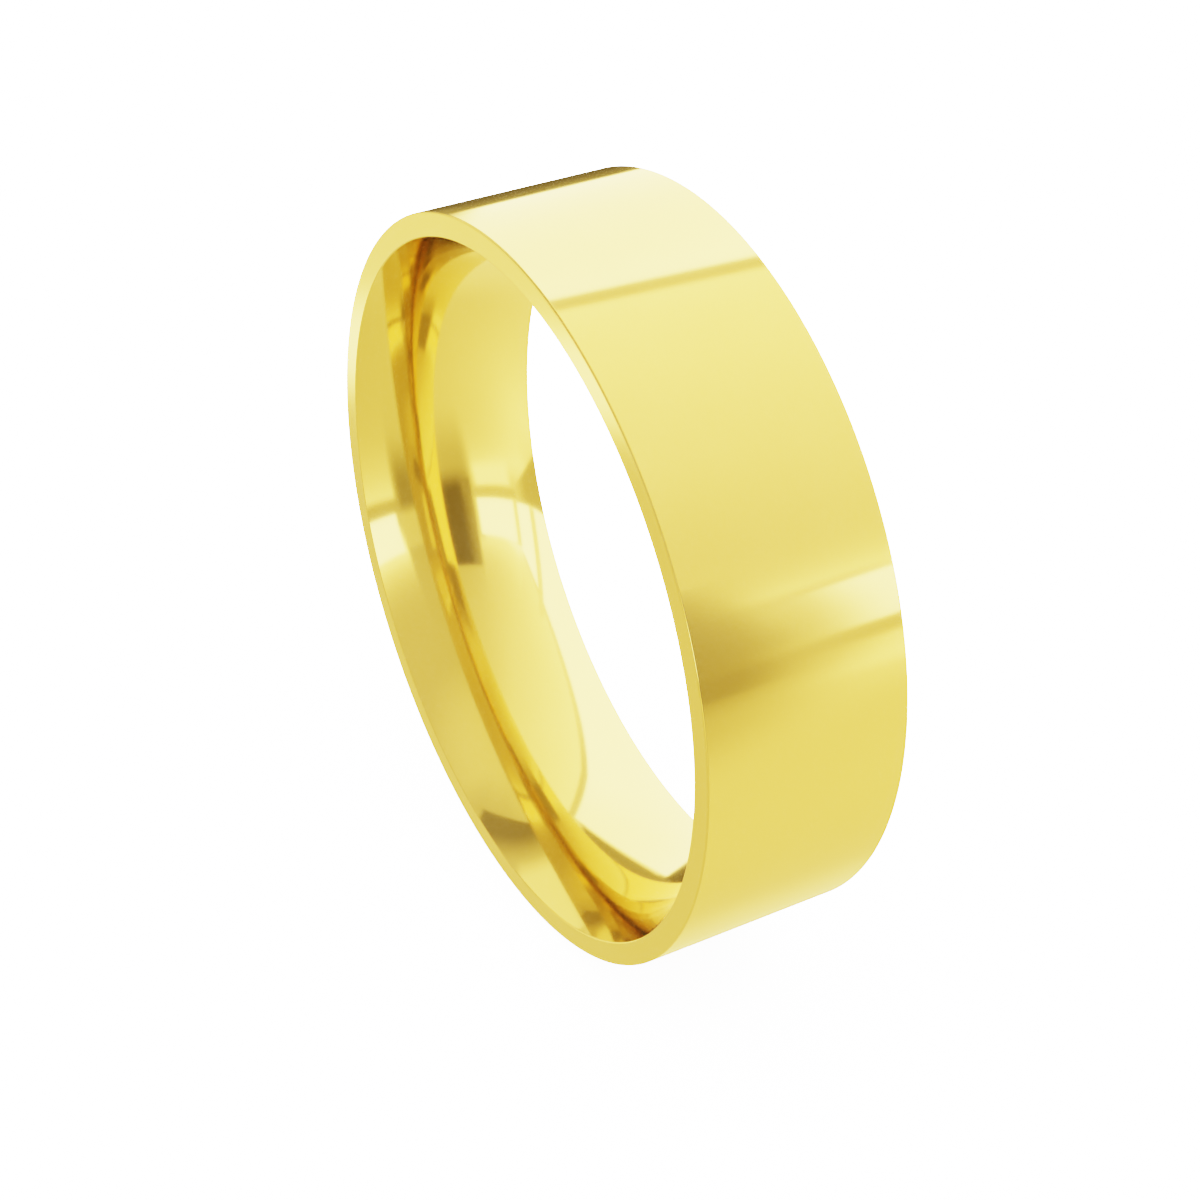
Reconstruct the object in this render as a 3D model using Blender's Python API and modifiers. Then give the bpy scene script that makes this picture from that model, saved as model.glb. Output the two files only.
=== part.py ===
"""Flat-court wedding band: a seamless ring of yellow gold, flat outside and domed inside.

The band is one turned piece. Its bore runs along Y, and it stands on its rim with +Z up, centred on the
origin. All sizes are in metres.
"""

import math

import bpy

# Driving dimensions
BAND_WIDTH = 0.0060  # along the bore
FINGER_RADIUS = 0.00955  # of the bore at the crest of its dome: a 60 mm finger
CREST_WALL = 0.00135  # wall at the middle of the width
EDGE_WALL = 0.00068  # wall where the dome meets the flat edge faces
EDGE_ROUNDING = 0.00005  # radius that polishing leaves on the four corners

# Facets of the solid
TURN_STEPS = 120
DOME_STEPS = 10
ROUNDING_STEPS = 2
MERGE_DISTANCE = 0.000001
CORNER_ANGLE = math.radians(30)  # only the four corners turn by more than this

# Worked out from the driving dimensions
HALF_WIDTH = BAND_WIDTH / 2
OUTER_RADIUS = FINGER_RADIUS + CREST_WALL
DOME_RISE = CREST_WALL - EDGE_WALL
DOME_ARC_RADIUS = (HALF_WIDTH**2 + DOME_RISE**2) / (2 * DOME_RISE)

# Polished yellow gold
GOLD_COLOUR = (0.67, 0.54, 0.28, 1.0)
GOLD_ROUGHNESS = 0.08


def clear_scene():
    """Removes every object, so that the script can be run again."""
    for obj in list(bpy.data.objects):
        bpy.data.objects.remove(obj, do_unlink=True)


def bore_radius(along):
    """Radius of the bore at a distance along it from the middle: a circular arc, smallest at the middle."""
    return FINGER_RADIUS + DOME_ARC_RADIUS - math.sqrt(DOME_ARC_RADIUS**2 - along**2)


def band_profile():
    """(radius, distance along the bore) of each corner: down the flat outside, then up the domed inside."""
    outside = [(OUTER_RADIUS, HALF_WIDTH), (OUTER_RADIUS, -HALF_WIDTH)]
    inside = []
    for step in range(DOME_STEPS + 1):
        along = BAND_WIDTH * step / DOME_STEPS - HALF_WIDTH
        inside.append((bore_radius(along), along))
    return outside + inside


def profile_mesh(name, profile):
    """A closed outline in the XZ plane, as edges only, for a Screw modifier to turn round Z."""
    points = [(radius, 0.0, along) for radius, along in profile]
    edges = [(i, (i + 1) % len(points)) for i in range(len(points))]
    mesh = bpy.data.meshes.new(name)
    mesh.from_pydata(points, edges, [])
    return mesh


def yellow_gold():
    """Polished yellow gold alloy."""
    material = bpy.data.materials.new("yellow_gold")
    material.use_nodes = True
    shader = material.node_tree.nodes["Principled BSDF"]
    shader.inputs["Base Color"].default_value = GOLD_COLOUR
    shader.inputs["Metallic"].default_value = 1.0
    shader.inputs["Roughness"].default_value = GOLD_ROUGHNESS
    return material


def add_turning(obj):
    """Turns the outline all the way round into a closed ring."""
    screw = obj.modifiers.new("turning", "SCREW")
    screw.axis = "Z"
    screw.steps = TURN_STEPS
    screw.render_steps = TURN_STEPS
    screw.use_merge_vertices = True
    screw.merge_threshold = MERGE_DISTANCE
    screw.use_smooth_shade = True


def add_edge_rounding(obj):
    """Rounds the four corners, where the edge faces meet the outside and the bore."""
    bevel = obj.modifiers.new("edge_rounding", "BEVEL")
    bevel.width = EDGE_ROUNDING
    bevel.segments = ROUNDING_STEPS
    bevel.limit_method = "ANGLE"
    bevel.angle_limit = CORNER_ANGLE
    bevel.harden_normals = True


def make_band(collection):
    """The whole band. The Screw turns about the object's own Z, which its rotation lays along world Y."""
    mesh = profile_mesh("band", band_profile())
    mesh.materials.append(yellow_gold())
    band = bpy.data.objects.new("band", mesh)
    band.rotation_euler = (math.radians(-90), 0.0, 0.0)
    collection.objects.link(band)
    add_turning(band)
    add_edge_rounding(band)
    return band


def main():
    clear_scene()
    collection = bpy.data.collections.new("wedding_band")
    bpy.context.scene.collection.children.link(collection)
    make_band(collection)


main()
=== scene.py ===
import math

import bpy
import numpy as np
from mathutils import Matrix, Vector


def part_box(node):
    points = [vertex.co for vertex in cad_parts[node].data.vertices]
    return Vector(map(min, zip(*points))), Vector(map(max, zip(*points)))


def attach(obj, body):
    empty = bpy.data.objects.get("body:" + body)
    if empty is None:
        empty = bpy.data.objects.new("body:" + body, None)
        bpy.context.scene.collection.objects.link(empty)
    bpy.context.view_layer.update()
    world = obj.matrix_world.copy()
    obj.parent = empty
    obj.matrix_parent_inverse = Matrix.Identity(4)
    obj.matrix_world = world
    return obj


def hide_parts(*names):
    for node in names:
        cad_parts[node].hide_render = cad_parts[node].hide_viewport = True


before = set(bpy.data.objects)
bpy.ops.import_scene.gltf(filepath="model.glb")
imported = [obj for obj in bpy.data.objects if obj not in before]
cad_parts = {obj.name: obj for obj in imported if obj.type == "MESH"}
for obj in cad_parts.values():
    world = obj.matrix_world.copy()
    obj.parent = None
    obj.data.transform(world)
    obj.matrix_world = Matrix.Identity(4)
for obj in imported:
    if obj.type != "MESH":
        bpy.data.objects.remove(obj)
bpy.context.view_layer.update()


# ---------------------------------------------------------------------------------------------------------
# The view: from the right and a little above, looking slightly down through the band
# ---------------------------------------------------------------------------------------------------------
low_corner, high_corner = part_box("band")
centre = (low_corner + high_corner) / 2
outer_radius = (high_corner.z - low_corner.z) / 2


def direction(azimuth, elevation):
    """Unit vector towards a compass direction: azimuth 0 is the front, -Y, and 90 is the right, +X."""
    turn = math.radians(azimuth)
    rise = math.radians(elevation)
    return Vector((math.sin(turn) * math.cos(rise), -math.cos(turn) * math.cos(rise), math.sin(rise)))


view_distance = outer_radius * 6.387
camera = bpy.data.objects.new("camera", bpy.data.cameras.new("camera"))
camera.data.lens = 73.14
camera.data.sensor_width = 36.0
camera.data.clip_start = 0.001
camera.location = centre + direction(60.98, 34.33) * view_distance
camera.rotation_euler = direction(61.0, 35.11).to_track_quat("Z", "Y").to_euler()
bpy.context.scene.collection.objects.link(camera)
bpy.context.scene.camera = camera


# ---------------------------------------------------------------------------------------------------------
# The band: turned gold, flat outside, domed inside, its four edges just broken by the polishing mop
# ---------------------------------------------------------------------------------------------------------
half_width = (high_corner.y - low_corner.y) / 2
crest_wall = 0.00135
bore_radius = outer_radius - crest_wall
dome_radius = 0.00705
edge_radius = 0.00005
edge_points = 7
dome_points = 75
steps_round = 720


def corner_arc(radius, along, start, end):
    """Part of a rounded edge: (radius, along, outward radius, outward along) for each step round it."""
    turn = np.linspace(start, end, edge_points)
    out = np.stack([np.cos(turn), np.sin(turn)], 1)
    return np.hstack([np.array([radius, along]) + out * edge_radius, out])


def band_outline():
    """The band's section as a closed line with its outward directions.

    The outside is straight, each edge face is flat, and the bore is one circular arc that bulges towards
    the finger. A small arc tangent to both its neighbours rounds every corner.
    """
    dome_centre = bore_radius + dome_radius
    corner_along = half_width - edge_radius
    lean = math.asin(corner_along / (dome_radius - edge_radius))
    inner = dome_centre - (dome_radius - edge_radius) * math.cos(lean)
    outer = outer_radius - edge_radius
    turn = np.linspace(math.pi - lean, math.pi + lean, dome_points)[1:-1]
    out = np.stack([np.cos(turn), np.sin(turn)], 1)
    dome = np.hstack([np.array([dome_centre, 0.0]) + out * dome_radius, out])
    quarter = math.pi / 2
    return np.vstack([
        corner_arc(outer, corner_along, 0.0, quarter),
        corner_arc(inner, corner_along, quarter, math.pi - lean),
        dome,
        corner_arc(inner, -corner_along, math.pi + lean, 3 * quarter),
        corner_arc(outer, -corner_along, 3 * quarter, 4 * quarter),
    ])


def turned_ring(name, outline, steps):
    """The outline turned round Y: point = (radius sin a, along, radius cos a) for every step's angle a."""
    angle = np.linspace(0.0, 2 * math.pi, steps, endpoint=False)[:, None]
    radius, along, out_radius, out_along = outline.T
    level = np.ones_like(angle)
    points = np.stack([radius * np.sin(angle), along * level, radius * np.cos(angle)], 2)
    normals = np.stack([out_radius * np.sin(angle), out_along * level, out_radius * np.cos(angle)], 2)
    here = np.arange(steps * len(outline)).reshape(steps, -1)
    onward = np.roll(here, -1, 0)
    corners = [here, onward, np.roll(onward, -1, 1), np.roll(here, -1, 1)]
    mesh = bpy.data.meshes.new(name)
    mesh.from_pydata(points.reshape(-1, 3), [], np.stack(corners, 2).reshape(-1, 4))
    mesh.shade_smooth()
    mesh.normals_split_custom_set_from_vertices(normals.reshape(-1, 3))
    ring = bpy.data.objects.new(name, mesh)
    bpy.context.scene.collection.objects.link(ring)
    return ring


class Value:
    """A number inside a node tree; arithmetic on it adds the Math nodes that work it out."""

    def __init__(self, nodes, socket):
        self.nodes = nodes
        self.socket = socket

    def maths(self, operation, *others):
        settings = {"operation": operation}
        return self.nodes.add("ShaderNodeMath", settings, {0: self, **dict(enumerate(others, 1))})

    def __add__(self, other):
        return self.maths("ADD", other)

    def __sub__(self, other):
        return self.maths("SUBTRACT", other)

    def __mul__(self, other):
        return self.maths("MULTIPLY", other)

    def __truediv__(self, other):
        return self.maths("DIVIDE", other)

    def __neg__(self):
        return self * -1.0

    def __rsub__(self, other):
        return self * -1.0 + other

    def __rtruediv__(self, other):
        return self.maths("POWER", -1.0) * other

    __radd__ = __add__
    __rmul__ = __mul__

    def smooth(self, low, high):
        """0 below low, 1 above high, and an S-shaped rise between them."""
        settings = {"interpolation_type": "SMOOTHSTEP"}
        sockets = {"Value": self, "From Min": low, "From Max": high}
        return self.nodes.add("ShaderNodeMapRange", settings, sockets, "Result")

    def between(self, low, high, low_edge, high_edge):
        """1 between low and high and 0 outside them, with each edge as soft as it says."""
        rise = self.smooth(low - low_edge, low + low_edge)
        fall = self.smooth(high - high_edge, high + high_edge)
        return rise * (1.0 - fall)

    def towards(self, other, share):
        """This value where share is 0 and the other one where it is 1."""
        return self + (other - self) * share


class Nodes:
    """A material's or world's node tree, with one way to add any node."""

    def __init__(self, owner):
        owner.use_nodes = True
        self.tree = owner.node_tree

    def add(self, kind, settings=None, sockets=None, output=0):
        """A node of that kind: its settings first, then its sockets, each a value or a link."""
        node = self.tree.nodes.new(kind)
        for name, value in (settings or {}).items():
            if name == "stops":
                self.set_stops(node.color_ramp, value)
            else:
                setattr(node, name, value)
        for name, value in (sockets or {}).items():
            self.feed(node.inputs[name], value)
        return Value(self, node.outputs[output])

    def set_stops(self, ramp, stops):
        """Gives a ramp its (place, colour) stops."""
        while len(ramp.elements) < len(stops):
            ramp.elements.new(0.5)
        for element, (place, colour) in zip(ramp.elements, stops):
            element.position = place
            element.color = (*colour, 1.0)

    def feed(self, socket, value):
        """Links a Value to the socket, or sets the socket to a plain number or colour."""
        if isinstance(value, Value):
            self.tree.links.new(value.socket, socket)
        else:
            socket.default_value = value


def polished_gold():
    """Yellow gold off a polishing mop: mirror bright, with colour and gloss wavering over 2 to 3 mm."""
    deeper = (0.665, 0.535, 0.276)
    paler = (0.675, 0.545, 0.284)
    material = bpy.data.materials.new("polished_gold")
    nodes = Nodes(material)
    shader = material.node_tree.nodes["Principled BSDF"]
    place = nodes.add("ShaderNodeTexCoord", output="Object")
    cloud = nodes.add("ShaderNodeTexNoise", {}, {"Vector": place, "Scale": 400.0, "Detail": 3.0})
    colour = nodes.add("ShaderNodeValToRGB", {"stops": [(0.3, deeper), (0.7, paler)]}, {"Fac": cloud})
    nodes.feed(shader.inputs["Base Color"], colour)
    nodes.feed(shader.inputs["Metallic"], 0.999)
    nodes.feed(shader.inputs["Roughness"], 0.07 + cloud * 0.02)
    return material


band = turned_ring("gold_band", band_outline(), steps_round)
band.data.materials.append(polished_gold())
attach(band, "root")
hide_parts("band")


# ---------------------------------------------------------------------------------------------------------
# The table: white, lit from within, and seamless with the white beyond it
# ---------------------------------------------------------------------------------------------------------
table_half = outer_radius * 60


def white_table():
    """Opal white that glows a little, so that the band leaves only a faint shadow where it touches."""
    material = bpy.data.materials.new("white_table")
    nodes = Nodes(material)
    shader = material.node_tree.nodes["Principled BSDF"]
    nodes.feed(shader.inputs["Base Color"], (0.8, 0.8, 0.8, 1.0))
    nodes.feed(shader.inputs["Roughness"], 0.9)
    nodes.feed(shader.inputs["Specular IOR Level"], 0.0)
    nodes.feed(shader.inputs["Emission Color"], (1.0, 1.0, 1.0, 1.0))
    nodes.feed(shader.inputs["Emission Strength"], 4.0)
    return material


table_mesh = bpy.data.meshes.new("table")
table_corners = [(-1, -1), (1, -1), (1, 1), (-1, 1)]
table_points = [(x * table_half, y * table_half, low_corner.z) for x, y in table_corners]
table_mesh.from_pydata(table_points, [], [(0, 1, 2, 3)])
table_mesh.materials.append(white_table())
table = bpy.data.objects.new("table", table_mesh)
table.visible_glossy = False
bpy.context.scene.collection.objects.link(table)


# ---------------------------------------------------------------------------------------------------------
# The light: a white studio with a long window wall at the back left, and two low windows at the right. The
# gold mirrors the whole of it, so each window, sill, panel and beam has its place, and a brightness between
# 0 and 6.5. Azimuths and elevations are in degrees, as in the view.
# ---------------------------------------------------------------------------------------------------------
degrees = 180.0 / math.pi
brightest = 6.5
low_window_light = 5.9


class Room:
    """The room round the band, by the direction in which each of its parts lies."""

    def __init__(self, nodes):
        place = nodes.add("ShaderNodeTexCoord", output="Object")
        split = nodes.add("ShaderNodeSeparateXYZ", {}, {"Vector": place})
        self.x, self.y, self.z = (Value(nodes, socket) for socket in split.socket.node.outputs)
        self.azimuth = (self.x.maths("ARCTAN2", -self.y) * degrees).maths("WRAP", 270.0, -90.0)
        self.elevation = self.z.maths("ARCSINE") * degrees

    def facing(self, azimuth):
        """How far a direction goes towards the wall at that azimuth, and how far to the wall's right."""
        turn = math.radians(azimuth)
        forward = self.x * math.sin(turn) - self.y * math.cos(turn)
        lateral = self.x * math.cos(turn) + self.y * math.sin(turn)
        return forward, lateral

    def pane(self, azimuth, across, upright, soft):
        """A rectangle on the wall at that azimuth, its sides given as slopes from the line to the wall."""
        forward, lateral = self.facing(azimuth)
        reach = forward.maths("MAXIMUM", 0.01)
        inside = (lateral / reach).between(*across, soft, soft)
        level = (self.z / reach).between(*upright, soft, soft)
        return inside * level * forward.smooth(0.0, 0.02)

    def patch(self, azimuths, elevations, sides, foot, head):
        """An area between two azimuths and two elevations, its sides, foot and head as soft as given."""
        across = self.azimuth.between(*azimuths, sides, sides)
        return across * self.elevation.between(*elevations, foot, head)


def fading(value, start, length):
    """1 at start, falling off exponentially beyond it over that length."""
    return ((start - value) / length).maths("MINIMUM", 0.0).maths("EXPONENT")


def ceiling_and_floor(room):
    """White surfaces: the ceiling fades away from the window wall, and the floor away from its bright place.

    The ceiling's fade follows 1 less the slope towards the wall; the floor's follows the angle between the
    direction and the bright place.
    """
    window_wall, _ = room.facing(224.0)
    away = 1.0 - window_wall * 1.3 / room.z.maths("MAXIMUM", 0.02)
    back_ceiling = 0.9 + fading(away, 0.0, 0.95) * 2.8
    back_ceiling = back_ceiling * (0.82 + room.azimuth.smooth(108.0, 136.0) * 0.18)
    front_ceiling = 0.79 + room.z.smooth(0.78, 1.0) * 0.38
    ceiling = front_ceiling.towards(back_ceiling, room.y.smooth(-0.1, 0.2))
    bright_place = direction(158.0, -22.0)
    nearness = room.x * bright_place.x + room.y * bright_place.y + room.z * bright_place.z
    angle = nearness.maths("MINIMUM", 1.0).maths("ARCCOSINE") * degrees
    floor = 1.0 - room.x.smooth(-0.3, 0.3) * 0.1 + fading(angle, 0.0, 24.0) * 2.1
    by_the_windows = room.azimuth.between(195.0, 245.0, 20.0, 10.0) * (-room.elevation).smooth(25.0, 55.0)
    floor = floor + by_the_windows * 0.3
    return floor.towards(ceiling, room.z.smooth(-0.02, 0.05))


def right_window(room, light):
    """The low window at the right, with its glow on the wall over it and on the sill under it."""
    upward = room.elevation
    downward = -room.elevation
    beside = room.azimuth.between(50.0, 76.5, 4.0, 0.6)
    light = light + beside * fading(upward, 12.5, 4.5) * upward.smooth(2.0, 12.0) * 3.1
    light = light + beside * fading(downward, 8.0, 9.0) * downward.smooth(4.0, 8.0) * 1.4
    light = light.towards(0.75, room.patch((50.0, 77.0), (-5.5, -1.0), 1.0, 1.2, 0.5))
    return light.towards(low_window_light, room.patch((52.0, 75.0), (-0.8, 12.5), 0.3, 0.3, 0.3))


def door_and_panel(room, light):
    """The door frame beside that window, dark at its foot, and the dark panel beyond it."""
    upward = room.elevation
    frame_foot = (-upward).between(1.0, 21.0, 3.0, 11.0) * room.azimuth.between(77.5, 92.0, 2.5, 2.0)
    light = light.towards(0.3, frame_foot * 0.9)
    light = light.towards(1.1, room.patch((76.5, 87.0), (0.0, 12.0), 0.5, 1.0, 1.0))
    light = light.towards(0.45, room.patch((88.5, 100.5), (13.0, 60.0), 1.0, 1.0, 8.0))
    surround = room.azimuth.between(86.0, 117.0, 1.0, 3.0) * upward.between(-26.0, 22.0, 12.0, 0.4)
    light = light.towards(0.75, surround)
    panel = room.azimuth.between(86.0, 116.8, 1.0, 0.9) * upward.between(-9.5, 22.3, 5.0, 0.4)
    return light.towards(0.18 + room.azimuth.smooth(109.0, 117.0) * 0.3, panel)


def middle_window(room, light):
    """The second low window: a bright wall over it, a dim ledge and a bright sill under it, and its post."""
    upward = room.elevation
    downward = -room.elevation
    over = room.azimuth.between(117.5, 143.0, 0.5, 0.5) * fading(upward, 11.5, 5.0)
    over = over * upward.smooth(2.0, 11.0)
    light = light + over * (2.4 + room.azimuth.smooth(132.0, 146.0) * 1.2)
    under = room.azimuth.between(119.0, 152.0, 2.0, 4.0) * fading(downward, 12.0, 5.0)
    light = light + under * downward.smooth(5.0, 12.0) * 1.2
    light = light.towards(1.05, room.patch((117.2, 150.0), (-4.2, -1.1), 0.4, 0.6, 0.4))
    light = light.towards(3.8, room.patch((120.0, 140.0), (-12.0, -5.2), 2.0, 2.0, 0.8))
    light = light.towards(1.3, room.patch((117.4, 121.0), (-1.5, 13.0), 0.5, 0.4, 1.5))
    light = light.towards(2.3, room.patch((139.0, 143.0), (-1.5, 12.0), 0.4, 0.4, 0.4))
    light = light.towards(low_window_light, room.patch((119.1, 140.5), (-0.8, 11.5), 0.8, 0.3, 0.3))
    light = light.towards(0.4, room.patch((112.0, 116.6), (-8.0, -2.0), 1.2, 0.7, 1.5))
    return light * (1.0 - room.patch((140.8, 142.4), (12.0, 28.0), 0.5, 0.5, 6.0) * 0.15)


def window_wall(room, light):
    """The long window wall: a dark skirting under it, a head over it, one post, and its dark right end."""
    left_end = room.azimuth.smooth(140.0, 151.0)
    right_end = room.azimuth.smooth(210.0, 236.0)
    skirting = 0.75 + room.azimuth.smooth(160.0, 200.0) * 0.5
    skirting = skirting - right_end * (1.0 + (-room.elevation).smooth(4.0, 16.0) * 0.13)
    skirting = 1.7 + (skirting - 1.7) * left_end
    light = light * (1.0 - room.patch((215.0, 262.0), (-45.0, -20.0), 8.0, 8.0, 4.0) * 0.45)
    light = light.towards(skirting, room.pane(224.0, (-6.31, 0.5), (-0.6, -0.06), 0.03))
    long_head = room.pane(222.0, (-5.2, -0.1), (1.0, 1.39), 0.03)
    end_head = room.pane(232.0, (-0.32, 0.3), (1.0, 1.45), 0.03)
    head_light = 2.1 - room.azimuth.smooth(165.0, 215.0) * 0.95
    light = light.towards(head_light, long_head.maths("MAXIMUM", end_head))
    long_glass = room.pane(222.0, (-5.2, -0.1), (-0.06, 1.24), 0.012)
    end_glass = room.pane(232.0, (-0.32, 0.272), (-0.05, 1.275), 0.012)
    glass_light = 6.1 - room.azimuth.smooth(215.0, 245.0) * 0.7
    light = light.towards(glass_light, long_glass.maths("MAXIMUM", end_glass))
    light = light.towards(2.3, room.patch((150.6, 153.6), (-1.0, 30.0), 0.2, 1.0, 1.0))
    return light.towards(0.45, room.patch((247.7, 269.0), (-20.0, 47.0), 1.0, 4.0, 4.0))


def left_side(room, light):
    """A tall lit opening with a dark beam over it, and a low shelf, its edge bright and out of level."""
    light = light.towards(1.95, room.patch((-89.0, -68.0), (7.0, 43.0), 3.0, 2.0, 5.0))
    light = light * (1.0 - room.patch((-72.0, -25.0), (60.0, 74.0), 12.0, 3.0, 8.0) * 0.2)
    beam = room.pane(-52.0, (-0.65, 0.22), (0.0, 2.05), 0.04)
    light = light.towards(0.25, beam * room.patch((-90.0, -38.0), (51.0, 90.0), 1.5, 6.0, 1.0))
    light = light.towards(1.68, room.patch((-85.0, -50.0), (-29.0, -8.0), 3.0, 1.0, 3.0))
    tilted = room.elevation + (room.azimuth + 64.0) * 0.155
    shelf_edge = tilted.between(-30.5, -28.5, 0.5, 0.5) * room.azimuth.between(-80.0, -52.0, 2.0, 2.0)
    return light.towards(4.6, shelf_edge)


def seen_by_way_of_the_band(room, light, second, passes):
    """The room as one side of the bore mirrors it to the other, which blurs it and shades it.

    Dark things are filled in, and the back is a fifth brighter the first time. After that every further
    pass divides by more, most of all for the table behind the band, which the band itself shades.
    """
    third = passes.maths("GREATER_THAN", 3.5)
    light = light.towards(light.maths("MAXIMUM", 0.4), second)
    light = light * (1.0 + (second - third) * room.y.smooth(-0.3, 0.3) * 0.18)
    table = room.azimuth.between(100.0, 200.0, 20.0, 20.0) * (-room.elevation).smooth(20.0, 45.0)
    behind = room.y.smooth(-0.1, 0.2) * (1.0 - table)
    table_passes = (passes - 3.0).maths("MAXIMUM", 0.0)
    back_passes = (passes - 4.0).maths("MAXIMUM", 0.0).maths("MINIMUM", 2.0)
    return light / (1.0 + table_passes * table * 0.6 + back_passes * behind * 0.3)


def studio():
    """The room is what the gold mirrors; the table and everything behind it see plain white.

    The dimmer a part of the room, the warmer its light. A window seen by way of the band is warmer too.
    """
    world = bpy.data.worlds.new("studio")
    nodes = Nodes(world)
    room = Room(nodes)
    light = ceiling_and_floor(room)
    for part in (right_window, door_and_panel, middle_window, window_wall, left_side):
        light = part(room, light)
    passes = nodes.add("ShaderNodeLightPath", output="Ray Depth")
    second = passes.maths("GREATER_THAN", 2.5)
    light = seen_by_way_of_the_band(room, light, second, passes)
    warmth = [
        (0.0, (0.0, 0.0, 0.0)),
        (1.3 / brightest, (0.379, 0.273, 0.083)),
        (2.5 / brightest, (0.631, 0.479, 0.151)),
        (3.7 / brightest, (0.753, 0.597, 0.201)),
        (1.0, (0.996, 0.912, 0.452)),
    ]
    colour = nodes.add("ShaderNodeValToRGB", {"stops": warmth}, {"Fac": light / brightest})
    warmer = nodes.add(
        "ShaderNodeMix",
        {"data_type": "RGBA", "blend_type": "MULTIPLY"},
        {"Factor": second * light.smooth(3.5, 6.0), 6: colour, 7: (0.85, 0.66, 0.36, 1.0)},
        2,
    )
    mirrored = nodes.add("ShaderNodeBackground", {}, {"Color": warmer, "Strength": 5.42})
    white = nodes.add("ShaderNodeBackground", {}, {"Color": (1.0, 1.0, 1.0, 1.0), "Strength": 16.0})
    by_mirror = nodes.add("ShaderNodeLightPath", output="Is Glossy Ray")
    both = nodes.add("ShaderNodeMixShader", {}, {0: by_mirror, 1: white, 2: mirrored})
    nodes.feed(world.node_tree.nodes["World Output"].inputs["Surface"], both)
    return world


scene = bpy.context.scene
scene.world = studio()
scene.view_settings.view_transform = "Filmic"
scene.view_settings.look = "High Contrast"
scene.cycles.glossy_bounces = 20
